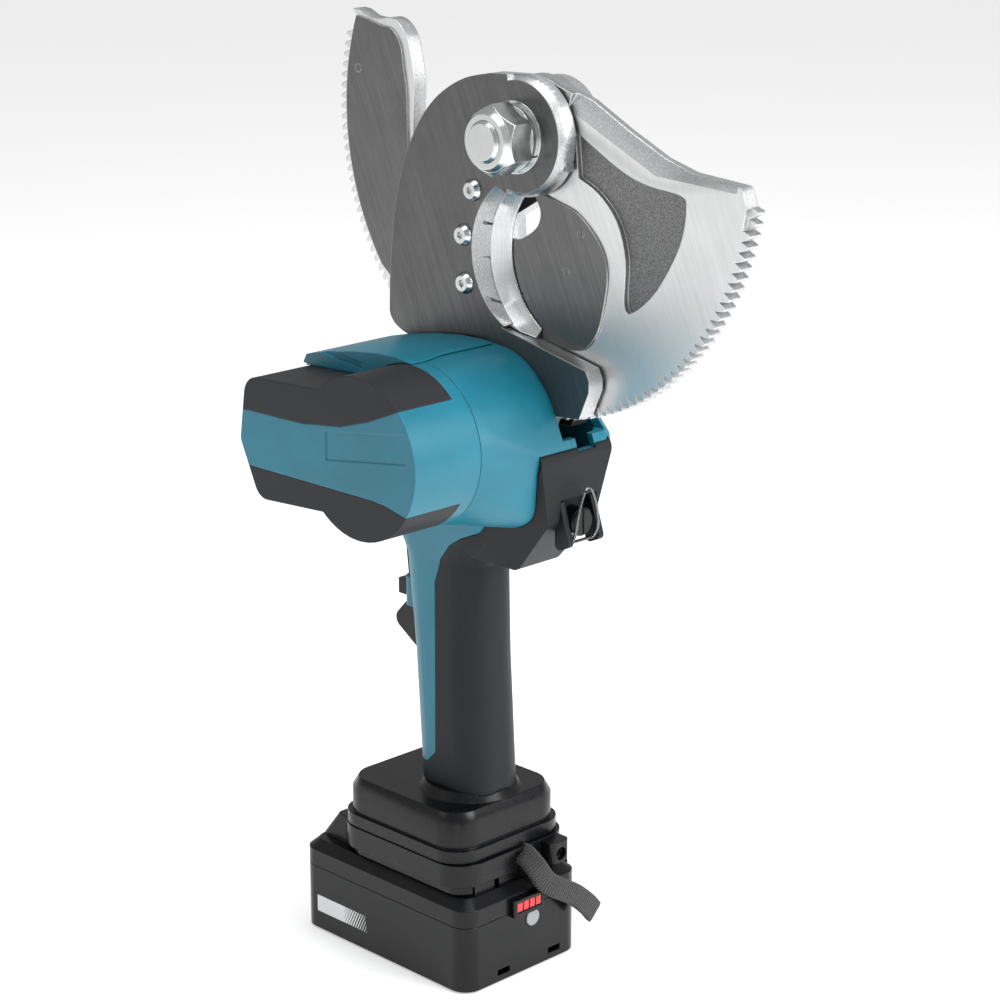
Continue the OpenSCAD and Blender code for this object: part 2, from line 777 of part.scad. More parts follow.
module planet_gear(k) {
    color(steel) translate([-46.5, motor_y, motor_z]) rotate([0, 90, 0]) rotate([0, 0, 120 * k])
        translate([planet_orbit, 0, 0]) difference() {
            rotate([0, 0, 180 / planet_teeth]) spur_gear(module_planet, planet_teeth, 9);
            translate([0, 0, -1]) cylinder(h = 12, r = 3.05);
        }
}

// Disc with the planets' pins and the output pinion
module planet_carrier() {
    color(steel) translate([0, motor_y, motor_z]) rotate([0, 90, 0]) {
        translate([0, 0, -36.5]) cylinder(h = 4, r = 21);
        for (k = [0:2]) rotate([0, 0, 120 * k]) translate([planet_orbit, 0, -46.5]) cylinder(h = 11, r = 3);
        translate([0, 0, -33]) cylinder(h = 8, r = 6);
        translate([0, 0, -26]) rotate([0, 0, -crank_lean]) spur_gear(module_crank, pinion_teeth, 10);
    }
}

// Gear, journals and eccentric on one shaft
module crank_gear() {
    color(steel) translate([0, crank_y, crank_z]) rotate([0, 90, 0]) {
        translate([0, 0, -25]) rotate([0, 0, 90 - crank_lean + 180 / crank_teeth])
            spur_gear(module_crank, crank_teeth, 8);
        translate([0, 0, -28]) cylinder(h = 50, r = journal_r);
        translate([-throw, 0, pawl_x - 0.2]) cylinder(h = pawl_t + 0.4, r = eccentric_r);
    }
}

// Cast plate inside the gear case that carries the crank's bearing
module drive_frame() {
    color("#9fa3a6") difference() {
        slab(-13, -7) union() {
            translate([crank_y, crank_z]) circle(14);
            polygon([[-58, 232.5], [-28, 240], [-22, 262], [-34, 272], [-66, 262]]);
        }
        rod_x(-14, -6, 10, crank_y, crank_z);
        for (p = head_bolt_places) rod_x(-14, -4, 6, p[0], p[1]);
    }
}

module crank_bearings() {
    color(steel) {
        tube_x(-13, -7, 10, journal_r + 0.03, crank_y, crank_z);
        tube_x(15, 20, 9, journal_r + 0.03, crank_y, crank_z);
    }
}

// Arm from a ring or boss to a point just clear of the moving blade's teeth
module pawl_outline(from, boss_r, tip_angle) {
    reach = tooth_r + gap;
    heel = polar(reach + 4, tip_angle + 0.4, pivot_y, pivot_z);
    along = (heel - from) / norm(heel - from);
    side = [-along[1], along[0]];
    translate(from) circle(boss_r);
    polygon([polar(reach, tip_angle, pivot_y, pivot_z), polar(reach + 0.2, tip_angle - 2.2, pivot_y, pivot_z),
        from + side * boss_r * 0.75, from - side * boss_r * 0.75, heel]);
}

pawl_x = edge_x + 1.6;
pawl_t = 6;
drive_angle = -83.6;
hold_angle = -62;

module drive_pawl() {
    color(steel) difference() {
        slab(pawl_x, pawl_x + pawl_t) pawl_outline([crank_y, crank_z + throw], eccentric_r + 4, drive_angle);
        rod_x(pawl_x - 1, pawl_x + pawl_t + 1, eccentric_r + 0.04, crank_y, crank_z + throw);
    }
}

module holding_pawl() {
    color(steel) difference() {
        slab(pawl_x, pawl_x + pawl_t) pawl_outline(pawl_pin, 5.5, hold_angle);
        rod_x(pawl_x - 1, pawl_x + pawl_t + 1, pawl_pin_r + 0.04, pawl_pin[0], pawl_pin[1]);
    }
}

module holding_pawl_pin() {
    color(steel) rod_x(near_x + 0.5, far_far_x - 1, pawl_pin_r, pawl_pin[0], pawl_pin[1]);
}

// ---- Release at the rear ----

// Two cheeks behind the grip that guard the release knob
module release_bracket() {
    color(soft_black) difference() {
        slab(-8, 14) hull() {
            translate([-84.3, 234.3]) circle(1.5, $fn = 32);
            translate([-88.5, 218]) circle(2.6, $fn = 32);
            translate([-85.3, 216.6]) circle(2.6, $fn = 32);
        }
        translate([-5, -100, 210]) cube([16, 40, 30]);
    }
}

module release_knob() {
    color(gloss_black) translate([1.5, -82.8, 226]) rotate([90, 0, 0]) difference() {
        union() {
            cylinder(h = 7, r = 6.4);
            translate([0, 0, 7]) cylinder(h = 0.8, r1 = 6.4, r2 = 5.6);
            translate([0, 0, -4.5]) cylinder(h = 5, r = 3);
        }
        translate([-0.6, -8, 7.2]) cube([1.2, 16, 2]);
    }
}

bail_pin = [-88.4, 217.2];

module wire_bail() {
    color(steel) {
        rod_x(-4.4, 10.4, 0.7, bail_pin[0], bail_pin[1]);
        wire(curve([[9.8, -88.4, 217.2], [9.9, -90.2, 219.4], [9.8, -91.6, 224], [8.4, -91.8, 232],
            [5.6, -91.8, 239.4], [3, -91.8, 241.4], [0.6, -91.8, 239.4], [-2.4, -91.8, 232], [-3.8, -91.6, 224],
            [-3.9, -90.2, 219.4], [-3.8, -88.4, 217.2]], 3), 0.7);
    }
}

// ---- Trigger and switch ----

module trigger() {
    color(soft_black) difference() {
        slab(-6.5, 6.5) polygon(concat(
            [[-3, 146.5], [8, 146.5]],
            arc(17, 157.5, 4.4, -58, 40, 6),
            [[14.5, 166.5], [-3, 166.5]]));
        translate([0, -4, 157]) rotate([-90, 0, 0]) cylinder(h = 10, r = 3.4);
    }
}

module trigger_spring() {
    color(steel) translate([0, -11.5, 157]) rotate([-90, 0, 0]) wire(coil(2.6, 1.5, 5, 16), 0.35, 6);
}

module switch_body() {
    color("#4a4d50") difference() {
        translate([-9, -31, 143]) cube([18, 19, 32]);
        translate([-9.1, -24, 146]) cube([0.9, 8, 26]);
    }
}

module reverse_lever() {
    color(soft_black) union() {
        translate([-3, -5, 171]) cube([6, 20, 4]);
        rounded_box(-5, 5, 10, 22, 169, 176, 1.5);
    }
}

module control_board() {
    color("#2f6b45") union() {
        translate([-9, -30.6, 100]) cube([18, 1.6, 34]);
        translate([-7, -29, 110]) cube([6, 3, 7]);
        translate([1, -29, 116]) cube([6, 2.4, 12]);
    }
}

// ---- Foot ----

foot_step_z = 61;

module foot_upper() {
    color(gloss_black) difference() {
        union() {
            hull() {
                rounded_box(-34.5, 34.5, -48, 31, foot_step_z, 79, 14);
                rounded_box(-32, 32, -45, 28, 79, foot_top, 12);
            }
            rounded_box(-36, 36, -50, 33, foot_step_z, 67, 14);
            translate([0, -21, foot_top - 1]) cylinder(h = 5, r1 = 25, r2 = 21);
        }
        rounded_box(-31.5, 31.5, -45, 28, foot_step_z - 1, 76, 11);
        translate([0, -21, 60]) cylinder(h = 40, r = 13);
        grip_body(-0.1);
    }
}

module foot_lower() {
    color(gloss_black) difference() {
        union() {
            rounded_box(-36.5, 36.5, -52, 33, 50, foot_step_z - 0.3, 14);
            rounded_box(-33, 33, -50, 29, battery_h + 0.5, 50, 10);
            rounded_box(15, 27, -60, -48, 48, 60.5, 3);
        }
        rounded_box(-33, 33, -48, 26, 53, foot_step_z + 1, 11);
        translate([-26, -62, battery_h - 1]) cube([52, 100, 6.2]);
        for (x = [-12, 10]) translate([x - 0.2, -38.2, battery_h + 4]) cube([2.4, 26.5, 5]);
        translate([21, -70, 54.5]) rotate([-90, 0, 0]) cylinder(h = 13, r = 3.2);
        translate([-1, -56, 55]) cube([10, 10, 4]);
    }
}

module terminal_block() {
    color("#26282a") union() {
        translate([-18, -12, 53.05]) cube([36, 14, 5]);
        for (x = [-12, 10]) translate([x, -38, 46]) cube([2, 26.1, 10]);
    }
}

// Folded band of webbing hanging from the foot
module wrist_strap() {
    color("#1b1c1e") union() {
        hull() {
            translate([-1, -54, 55.8]) cube([8, 1, 2.4]);
            translate([4, -61, 49]) cube([8, 2, 8]);
        }
        hull() {
            translate([4, -61, 49]) cube([8, 2, 8]);
            translate([32, -66, 19]) cube([10, 4, 9]);
        }
    }
}

// ---- Battery ----

module battery_case() {
    color(gloss_black) difference() {
        union() {
            rounded_box(-battery_w / 2, battery_w / 2, battery_rear, battery_front, 1, seam_z - 0.3, 9);
            rounded_box(-battery_w / 2 + 2, battery_w / 2 - 2, battery_rear + 2, battery_front - 2, 0, 1.1, 8);
        }
        rounded_box(-battery_w / 2 + 2, battery_w / 2 - 2, battery_rear + 2, battery_front - 2, 2.5, 40, 7);
        for (x = [-13, 20]) translate([x - 4, battery_rear - 1, 4]) cube([8, 4, 3]);
        translate([5.6, battery_rear + 3, 26.4]) rotate([90, 0, 0]) cylinder(h = 5, r = 4.1);
        translate([-9, battery_rear - 1, 30.9]) cube([20, 4, 8]);
    }
}

module battery_top() {
    color(gloss_black) difference() {
        union() {
            rounded_box(-battery_w / 2, battery_w / 2, battery_rear, battery_front, seam_z, 41, 9);
            hull() {
                rounded_box(-battery_w / 2, battery_w / 2, battery_rear, battery_front, 40.9, 41, 9);
                rounded_box(-33, 33, battery_rear + 5, battery_front - 4, battery_h - 0.1, battery_h, 7);
            }
            translate([-25, -50, battery_h - 0.1]) cube([50, 76, 5]);
            hull() {
                rounded_box(-27, 27, 34, 54, battery_h - 1, battery_h, 4);
                rounded_box(-25, 25, 34.5, 45, 56, 57, 3);
            }
        }
        rounded_box(-battery_w / 2 + 2, battery_w / 2 - 2, battery_rear + 2, battery_front - 2, 30, battery_h - 4, 7);
        for (x = [-12.5, 9.5]) translate([x, -51, battery_h - 5]) cube([3, 40, 11]);
        translate([-14, 40, 42.4]) cube([28, 20, 12.2]);
        translate([-9, battery_rear - 1, 30]) cube([20, 4, 9.6]);
    }
}

module battery_cells() {
    color("#3a5f8a") for (z = [11.6, 30.4], i = [0:4])
        translate([-32.5, -39 + 19.2 * i, z]) rotate([0, 90, 0]) cylinder(h = 65, r = 9.1);
}

module battery_board() {
    color("#2f6b45") translate([-30, -30, 40.1]) cube([60, 62, 0.8]);
}

module battery_contacts() {
    color("#b98a4a") for (x = [-12.45, -9.95, 9.55, 12.05]) translate([x, -30, 40.9]) cube([0.4, 14, 7.6]);
}

module gauge_frame() {
    color(gloss_black) difference() {
        rounded_box(-8.9, 10.9, battery_rear - 3, battery_rear + 2, 31, 39.5, 1);
        translate([-7, battery_rear - 4, 33]) cube([16, 2.5, 5]);
    }
}

module gauge_bars() {
    color("#c8232b") for (i = [0:3]) translate([-6.6 + 4 * i, battery_rear - 2.7, 33.4]) cube([3.2, 1.2, 4.2]);
}

module check_button() {
    color("#8c9092") translate([5.6, battery_rear + 2.4, 26.4]) rotate([90, 0, 0]) cylinder(h = 3, r = 4);
}

module latch_button() {
    color(gloss_black) difference() {
        translate([-13.6, 42, 46]) cube([27.2, 7.4, 8.2]);
        for (i = [0:2]) translate([-10, 48.6, 48 + 2 * i]) cube([20, 2, 0.8]);
    }
}

module latch_spring() {
    color(steel) translate([0, 46, 42.8]) wire(coil(2.4, 1.05, 2.5, 12), 0.3, 6);
}

near_plate();
far_plate();
fixed_blade();
fixed_blade_screws();
head_bolts();
blade_carrier();
moving_blade();
blade_rivets();
pivot_bush();
pivot_bolt();
pivot_nut();
spring_washer();
flat_washer();
housing_left();
housing_right();
housing_screws();
motor_cover();
upper_bumper();
lower_bumper();
top_lid();
grip_rubber();
grip_pad();
front_trim();
motor_stator();
motor_rotor();
motor_end_plate();
rotor_bearings();
ring_gear();
planet_gear(0);  // planet_gear_1
planet_gear(1);  // planet_gear_2
planet_gear(2);  // planet_gear_3
planet_carrier();
crank_gear();
crank_bearings();
drive_frame();
drive_pawl();
holding_pawl();
holding_pawl_pin();
release_bracket();
release_knob();
wire_bail();
trigger();
trigger_spring();
switch_body();
reverse_lever();
control_board();
foot_upper();
foot_lower();
terminal_block();
wrist_strap();
battery_case();
battery_top();
battery_cells();
battery_board();
battery_contacts();
gauge_frame();
gauge_bars();
check_button();
latch_button();
latch_spring();
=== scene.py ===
"""Looks for a cordless ratchet cable cutter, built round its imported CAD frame."""

import math

import bmesh
import bpy
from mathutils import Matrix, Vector

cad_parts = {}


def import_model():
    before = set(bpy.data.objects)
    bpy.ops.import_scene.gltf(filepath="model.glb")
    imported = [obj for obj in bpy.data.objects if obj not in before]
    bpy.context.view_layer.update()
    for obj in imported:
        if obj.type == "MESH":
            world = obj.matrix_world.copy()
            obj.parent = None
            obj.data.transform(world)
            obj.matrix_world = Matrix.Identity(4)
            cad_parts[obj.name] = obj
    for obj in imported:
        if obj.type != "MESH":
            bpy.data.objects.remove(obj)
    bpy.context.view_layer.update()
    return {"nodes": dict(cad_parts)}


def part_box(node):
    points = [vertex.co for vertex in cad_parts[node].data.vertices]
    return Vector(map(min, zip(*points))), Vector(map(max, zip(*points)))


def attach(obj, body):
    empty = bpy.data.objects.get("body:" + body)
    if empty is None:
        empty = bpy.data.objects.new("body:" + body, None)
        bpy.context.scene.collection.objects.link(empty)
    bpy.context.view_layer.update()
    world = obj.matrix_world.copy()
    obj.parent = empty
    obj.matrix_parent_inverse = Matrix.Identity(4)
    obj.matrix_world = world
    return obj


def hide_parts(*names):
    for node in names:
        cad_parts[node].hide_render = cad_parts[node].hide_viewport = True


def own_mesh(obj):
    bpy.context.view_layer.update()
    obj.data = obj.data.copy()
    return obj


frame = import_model()
NODES = frame["nodes"]

MM = 0.001
WELD_DISTANCE = 4e-6
SMOOTH_ANGLE = math.radians(34)
# Depth of the forged hollow below the carrier's face
HOLLOW_DEPTH = 2.6 * MM
# How far from its depth the hollow's floor is still taken as floor, and its nearest and furthest
# distance from the pivot
HOLLOW_MARGIN = 0.4 * MM
HOLLOW_REACH = (0.015, 0.112)


# ---- Node helpers ----


def linear(red, green, blue):
    """A screen colour from 0 to 255 as the shader's linear colour."""
    return tuple(
        v / 12.92 if v <= 0.04045 else ((v + 0.055) / 1.055) ** 2.4
        for v in (red / 255, green / 255, blue / 255)
    ) + (1.0,)


def add(tree, kind, inputs=None, **settings):
    """A new node, with its settings, and its inputs as values or as links from sockets."""
    made = tree.nodes.new(kind)
    for key, value in settings.items():
        setattr(made, key, value)
    for key, value in (inputs or {}).items():
        if isinstance(value, bpy.types.NodeSocket):
            tree.links.new(value, made.inputs[key])
        else:
            made.inputs[key].default_value = value
    return made


def new_material(name):
    material = bpy.data.materials.new(name)
    material.use_nodes = True
    tree = material.node_tree
    tree.nodes.clear()
    shader = add(tree, "ShaderNodeBsdfPrincipled")
    output = add(tree, "ShaderNodeOutputMaterial")
    tree.links.new(shader.outputs["BSDF"], output.inputs["Surface"])
    return material, tree, shader


def position(tree, turn=(0, 0, 0), scale=(1, 1, 1)):
    """Object coordinates in metres, turned and then scaled."""
    coordinates = add(tree, "ShaderNodeTexCoord").outputs["Object"]
    turned = add(tree, "ShaderNodeMapping", {"Vector": coordinates, "Rotation": turn}).outputs[0]
    return add(tree, "ShaderNodeMapping", {"Vector": turned, "Scale": scale}).outputs[0]


def noise(tree, vector, scale, detail=3.0, roughness=0.5):
    return add(
        tree,
        "ShaderNodeTexNoise",
        {"Vector": vector, "Scale": scale, "Detail": detail, "Roughness": roughness},
    ).outputs["Fac"]


def spread(tree, value, low, high, to_low, to_high):
    """value from low..high mapped to to_low..to_high, and held there."""
    return add(
        tree,
        "ShaderNodeMapRange",
        {"Value": value, "From Min": low, "From Max": high, "To Min": to_low, "To Max": to_high},
    ).outputs["Result"]


def math_node(tree, operation, a, b=0.0):
    return add(tree, "ShaderNodeMath", {0: a, 1: b}, operation=operation).outputs[0]


def mix(tree, factor, a, b):
    made = add(tree, "ShaderNodeMix", data_type="RGBA")
    for index, value in ((0, factor), (6, a), (7, b)):
        if isinstance(value, bpy.types.NodeSocket):
            tree.links.new(value, made.inputs[index])
        else:
            made.inputs[index].default_value = value
    return made.outputs[2]


def rounded(tree, radius):
    """(normal with rounded edges, mask of those edges from 0 to 1)"""
    bevel = add(tree, "ShaderNodeBevel", {"Radius": radius}, samples=6).outputs[0]
    flat = add(tree, "ShaderNodeNewGeometry").outputs["Normal"]
    dot = add(tree, "ShaderNodeVectorMath", {0: bevel, 1: flat}, operation="DOT_PRODUCT")
    return bevel, spread(tree, dot.outputs["Value"], 0.995, 0.86, 0.0, 1.0)


def bump(tree, height, distance, strength, normal=None):
    inputs = {"Height": height, "Distance": distance, "Strength": strength}
    if normal is not None:
        inputs["Normal"] = normal
    return add(tree, "ShaderNodeBump", inputs).outputs[0]


# ---- Materials ----


def plastic(
    name, colour, rough, grain, grain_depth, edge_radius=0.0006, edge_wear_and_highlight=1.25, wave=0.0, shine=0.5
):
    """Moulded plastic or rubber: fine erosion grain, faint flow variation, and edges lightened partly as wear
    and partly as a painted highlight.
    """
    material, tree, shader = new_material(name)
    place = position(tree)
    normal, edge = rounded(tree, edge_radius)
    cloud = noise(tree, place, 26.0, 4.0, 0.6)
    grains = noise(tree, place, grain, 2.0, 0.6)
    dark = tuple(c * 0.86 for c in colour[:3]) + (1.0,)
    light = tuple(min(1.0, c * 1.1 + 0.002) for c in colour[:3]) + (1.0,)
    worn_and_highlit = tuple(min(1.0, c * edge_wear_and_highlight + 0.006) for c in colour[:3]) + (1.0,)
    base = mix(tree, spread(tree, cloud, 0.3, 0.7, 0.0, 1.0), dark, light)
    # Edge colour lightened: partly wear, partly a painted highlight of light catching the rounded edges.
    base = mix(tree, math_node(tree, "MULTIPLY", edge, 0.55), base, worn_and_highlit)
    tree.links.new(base, shader.inputs["Base Color"])
    roughness = spread(tree, grains, 0.25, 0.75, rough - 0.05, rough + 0.07)
    roughness = math_node(tree, "ADD", roughness, spread(tree, cloud, 0.3, 0.7, -0.03, 0.03))
    tree.links.new(roughness, shader.inputs["Roughness"])
    if wave:
        normal = bump(tree, noise(tree, place, 60.0, 1.0), wave, 0.5, normal)
    tree.links.new(bump(tree, grains, grain_depth, 0.6, normal), shader.inputs["Normal"])
    shader.inputs["Specular IOR Level"].default_value = shine
    return material


def inside(tree, value, low, high):
    """1 where value lies between low and high, else 0."""
    above = math_node(tree, "GREATER_THAN", value, low)
    return math_node(tree, "MULTIPLY", above, math_node(tree, "LESS_THAN", value, high))


def side_mask(tree):
    """1 on faces that don't look along X: the cut edges and bevels of a flat plate."""
    normal = add(tree, "ShaderNodeNewGeometry").outputs["True Normal"]
    along = math_node(tree, "ABSOLUTE", add(tree, "ShaderNodeSeparateXYZ", {0: normal}).outputs["X"])
    return math_node(tree, "LESS_THAN", along, 0.985)


def hollow_mask(tree, place):
    """1 on the floor of the forged hollow in the blade's arm."""
    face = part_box("blade_carrier")[0].x
    pivot_low, pivot_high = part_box("pivot_bolt")
    middle = (pivot_low + pivot_high) / 2
    parts = add(tree, "ShaderNodeSeparateXYZ", {0: place})
    floor_x = face + HOLLOW_DEPTH
    depth = inside(tree, parts.outputs["X"], floor_x - HOLLOW_MARGIN, floor_x + HOLLOW_MARGIN)
    y = math_node(tree, "SUBTRACT", parts.outputs["Y"], middle.y)
    z = math_node(tree, "SUBTRACT", parts.outputs["Z"], middle.z)
    squares = [math_node(tree, "MULTIPLY", y, y), math_node(tree, "MULTIPLY", z, z)]
    radius = math_node(tree, "SQRT", math_node(tree, "ADD", *squares))
    flat = math_node(tree, "SUBTRACT", 1.0, side_mask(tree))
    level = math_node(tree, "MULTIPLY", depth, flat)
    return math_node(tree, "MULTIPLY", level, inside(tree, radius, *HOLLOW_REACH))


def brushed(
    name, dark, light, rough, lean, edge_wear_and_highlight_colour, streak=1400.0, depth=0.00003, rim=None, hollow=False
):
    """Ground steel: long scratches that lean by an angle in the (Y, Z) plane, blotches, and edges lightened
    partly as wear and partly as a painted highlight.
    rim holds the two tones of its speckled cut edges and bevels. hollow adds the forged floor in the arm."""
    material, tree, shader = new_material(name)
    along = position(tree, (math.radians(lean), 0, 0), (1.0, 1.0, 0.018))
    place = position(tree)
    normal, edge = rounded(tree, 0.0007)
    fine = noise(tree, along, streak, 3.0, 0.7)
    broad = noise(tree, along, streak * 0.22, 2.0, 0.6)
    cloud = noise(tree, place, 38.0, 4.0, 0.6)
    parts = [math_node(tree, "MULTIPLY", fine, 0.55), math_node(tree, "MULTIPLY", broad, 0.3)]
    value = math_node(tree, "ADD", *parts)
    value = math_node(tree, "ADD", value, math_node(tree, "MULTIPLY", cloud, 0.25))
    base = mix(tree, spread(tree, value, 0.26, 0.86, 0.0, 1.0), dark, light)
    speckle = noise(tree, place, 2000.0, 2.0, 0.7)
    roughness = spread(tree, value, 0.35, 0.75, rough + 0.07, rough - 0.05)
    normal = bump(tree, fine, depth, 0.55, normal)
    patches = []
    if rim:
        patches.append((side_mask(tree), rim, 0.40))
    if hollow:
        patches.append((hollow_mask(tree, place), (linear(104, 104, 104), linear(158, 158, 158)), 0.56))
    for mask, (low, high), dull in patches:
        base = mix(tree, mask, base, mix(tree, spread(tree, speckle, 0.36, 0.66, 0.0, 1.0), low, high))
        apart = math_node(tree, "MULTIPLY", mask, math_node(tree, "SUBTRACT", dull, roughness))
        roughness = math_node(tree, "ADD", roughness, apart)
        normal = bump(tree, math_node(tree, "MULTIPLY", speckle, mask), 0.00009, 0.5, normal)
    # Edge colour lightened: partly wear, partly a painted highlight of light catching the rounded edges.
    base = mix(tree, math_node(tree, "MULTIPLY", edge, 0.75), base, edge_wear_and_highlight_colour)
    tree.links.new(base, shader.inputs["Base Color"])
    shader.inputs["Metallic"].default_value = 1.0
    shader.inputs["Anisotropic"].default_value = 0.35
    tree.links.new(roughness, shader.inputs["Roughness"])
    tree.links.new(normal, shader.inputs["Normal"])
    return material


def forged(name, dark, light, rough):
    """Shot-blasted steel: fine speckle and small pits."""
    material, tree, shader = new_material(name)
    place = position(tree)
    normal, edge = rounded(tree, 0.0008)
    speckle = noise(tree, place, 1500.0, 2.0, 0.7)
    lumps = noise(tree, place, 420.0, 2.0, 0.6)
    base = mix(tree, spread(tree, speckle, 0.34, 0.68, 0.0, 1.0), dark, light)
    # Edge colour lightened: partly wear, partly a painted highlight of light catching the rounded edges.
    base = mix(tree, math_node(tree, "MULTIPLY", edge, 0.7), base, linear(214, 216, 216))
    tree.links.new(base, shader.inputs["Base Color"])
    shader.inputs["Metallic"].default_value = 1.0
    tree.links.new(spread(tree, speckle, 0.3, 0.7, rough - 0.06, rough + 0.08), shader.inputs["Roughness"])
    height = math_node(tree, "ADD", speckle, math_node(tree, "MULTIPLY", lumps, 1.6))
    tree.links.new(bump(tree, height, 0.00012, 0.6, normal), shader.inputs["Normal"])
    return material


def plated(name, colour, rough, blotch=0.9):
    """Zinc plating or plain machined metal, with turning marks too fine to see and soft blotches."""
    material, tree, shader = new_material(name)
    place = position(tree)
    normal, edge = rounded(tree, 0.00045)
    cloud = noise(tree, place, 160.0, 3.0, 0.6)
    dust = noise(tree, place, 2200.0, 1.0)
    dull = tuple(c * blotch for c in colour[:3]) + (1.0,)
    base = mix(tree, spread(tree, cloud, 0.35, 0.7, 0.0, 1.0), dull, colour)
    # Edge colour lightened: partly wear, partly a painted highlight of light catching the rounded edges.
    base = mix(tree, math_node(tree, "MULTIPLY", edge, 0.6), base, linear(238, 240, 240))
    tree.links.new(base, shader.inputs["Base Color"])
    shader.inputs["Metallic"].default_value = 1.0
    tree.links.new(spread(tree, cloud, 0.3, 0.7, rough - 0.04, rough + 0.08), shader.inputs["Roughness"])
    tree.links.new(bump(tree, dust, 0.00003, 0.4, normal), shader.inputs["Normal"])
    return material


def lens(name, colour, glow):
    """Clear coloured window with a soft light behind it."""
    material, tree, shader = new_material(name)
    place = position(tree)
    cloud = noise(tree, place, 700.0, 2.0)
    deep = tuple(c * 0.65 for c in colour[:3]) + (1.0,)
    base = mix(tree, cloud, deep, colour)
    tree.links.new(base, shader.inputs["Base Color"])
    tree.links.new(base, shader.inputs["Emission Color"])
    shader.inputs["Emission Strength"].default_value = glow
    shader.inputs["Coat Weight"].default_value = 0.6
    tree.links.new(spread(tree, cloud, 0.3, 0.7, 0.12, 0.2), shader.inputs["Roughness"])
    return material


def webbing(name):
    """Woven polyester band: ribs across the band, read from its own coordinates."""
    material, tree, shader = new_material(name)
    strip = add(tree, "ShaderNodeUVMap", uv_map="band").outputs[0]
    parts = add(tree, "ShaderNodeSeparateXYZ", {0: strip})
    run, across = parts.outputs["X"], parts.outputs["Y"]
    warp = math_node(tree, "SINE", math_node(tree, "MULTIPLY", across, 2 * math.pi / (0.9 * MM)))
    weft = math_node(tree, "SINE", math_node(tree, "MULTIPLY", run, 2 * math.pi / (1.3 * MM)))
    weave = math_node(
        tree, "ADD", math_node(tree, "MULTIPLY", warp, weft), math_node(tree, "MULTIPLY", weft, 0.6)
    )
    fuzz = noise(tree, position(tree), 3000.0, 2.0)
    height = math_node(tree, "ADD", weave, math_node(tree, "MULTIPLY", fuzz, 0.8))
    base = mix(tree, spread(tree, height, -1.2, 2.0, 0.0, 1.0), linear(6, 6, 7), linear(46, 47, 50))
    tree.links.new(base, shader.inputs["Base Color"])
    tree.links.new(spread(tree, fuzz, 0.3, 0.7, 0.62, 0.8), shader.inputs["Roughness"])
    shader.inputs["Sheen Weight"].default_value = 0.25
    shader.inputs["Sheen Roughness"].default_value = 0.5
    tree.links.new(bump(tree, height, 0.0004, 1.0), shader.inputs["Normal"])
    return material


def marking(name, start, run):
    """Pale printed stripe that breaks up into slanted bars at its far end. Generic, without any lettering."""
    material, tree, shader = new_material(name)
    place = position(tree)
    parts = add(tree, "ShaderNodeSeparateXYZ", {0: place})
    share = math_node(tree, "DIVIDE", math_node(tree, "SUBTRACT", start, parts.outputs["Y"]), run)
    slant = math_node(tree, "ADD", parts.outputs["Y"], math_node(tree, "MULTIPLY", parts.outputs["Z"], 0.5))
    bars = math_node(tree, "SINE", math_node(tree, "MULTIPLY", slant, 2 * math.pi / (1.6 * MM)))
    cover = math_node(tree, "GREATER_THAN", spread(tree, share, 0.5, 1.0, 1.1, -1.1), bars)
    speck = noise(tree, place, 2500.0, 2.0)
    pale = mix(tree, speck, linear(205, 207, 208), linear(232, 233, 234))
    base = mix(tree, cover, linear(30, 31, 33), pale)
    tree.links.new(base, shader.inputs["Base Color"])
    tree.links.new(spread(tree, speck, 0.3, 0.7, 0.34, 0.42), shader.inputs["Roughness"])
    return material


TEAL = plastic("teal_plastic", linear(12, 112, 134), 0.38, 1500.0, 0.00006, 0.0007, 1.3)
SOFT = plastic("soft_elastomer", linear(34, 36, 40), 0.52, 1900.0, 0.00007, 0.0009, 1.6, shine=0.3)
GRIP = plastic("grip_elastomer", linear(22, 25, 29), 0.48, 2300.0, 0.00010, 0.0009, 1.7, shine=0.25)
BLACK = plastic("black_plastic", linear(10, 11, 14), 0.27, 1300.0, 0.00004, 0.0006, 2.0, 0.00006, 0.3)
GLOSS = plastic("gloss_black_plastic", linear(9, 10, 12), 0.16, 900.0, 0.00002, 0.0006, 2.2, 0.00005, 0.3)
INNER = plastic("inner_plastic", linear(58, 60, 63), 0.5, 1300.0, 0.00005)
GREY = plastic("grey_plastic", linear(150, 153, 155), 0.42, 1500.0, 0.00004, 0.0004)
BOARD = plastic("circuit_board", linear(38, 96, 62), 0.35, 500.0, 0.00004, 0.0003)
SLEEVE = plastic("cell_sleeve", linear(52, 92, 138), 0.3, 300.0, 0.00003, 0.0003)
PLATE_RIM = (linear(172, 173, 174), linear(218, 219, 220))
CARRIER_RIM = (linear(168, 169, 170), linear(214, 215, 216))
PLATE = brushed(
    "plate_steel", linear(86, 86, 86), linear(122, 122, 122),
    0.40, 24, linear(196, 197, 198), streak=2600.0, rim=PLATE_RIM
)
EDGE = brushed(
    "cutting_plate_steel", linear(92, 92, 92), linear(132, 132, 132),
    0.38, 24, linear(192, 193, 194), streak=2600.0, rim=CARRIER_RIM
)
CARRIER = brushed(
    "carrier_steel", linear(212, 213, 213), linear(242, 242, 242),
    0.38, 24, linear(242, 243, 243), streak=2200.0, rim=CARRIER_RIM, hollow=True
)
RING = brushed(
    "cutter_ring_steel", linear(196, 198, 199), linear(236, 237, 238), 0.26, 0, linear(232, 233, 234)
)
ZINC = plated("zinc_plate", linear(214, 216, 216), 0.20, 0.94)
WIRE = plated("bright_wire", linear(92, 94, 97), 0.25)
GEAR = plated("machined_steel", linear(150, 153, 156), 0.32)
BRONZE = plated("bronze", linear(178, 148, 96), 0.3)
COPPER = plated("copper_winding", linear(184, 110, 62), 0.35)
CAST = forged("cast_alloy", linear(150, 153, 156), linear(200, 202, 204), 0.45)
RED = lens("red_window", linear(206, 18, 28), 0.25)

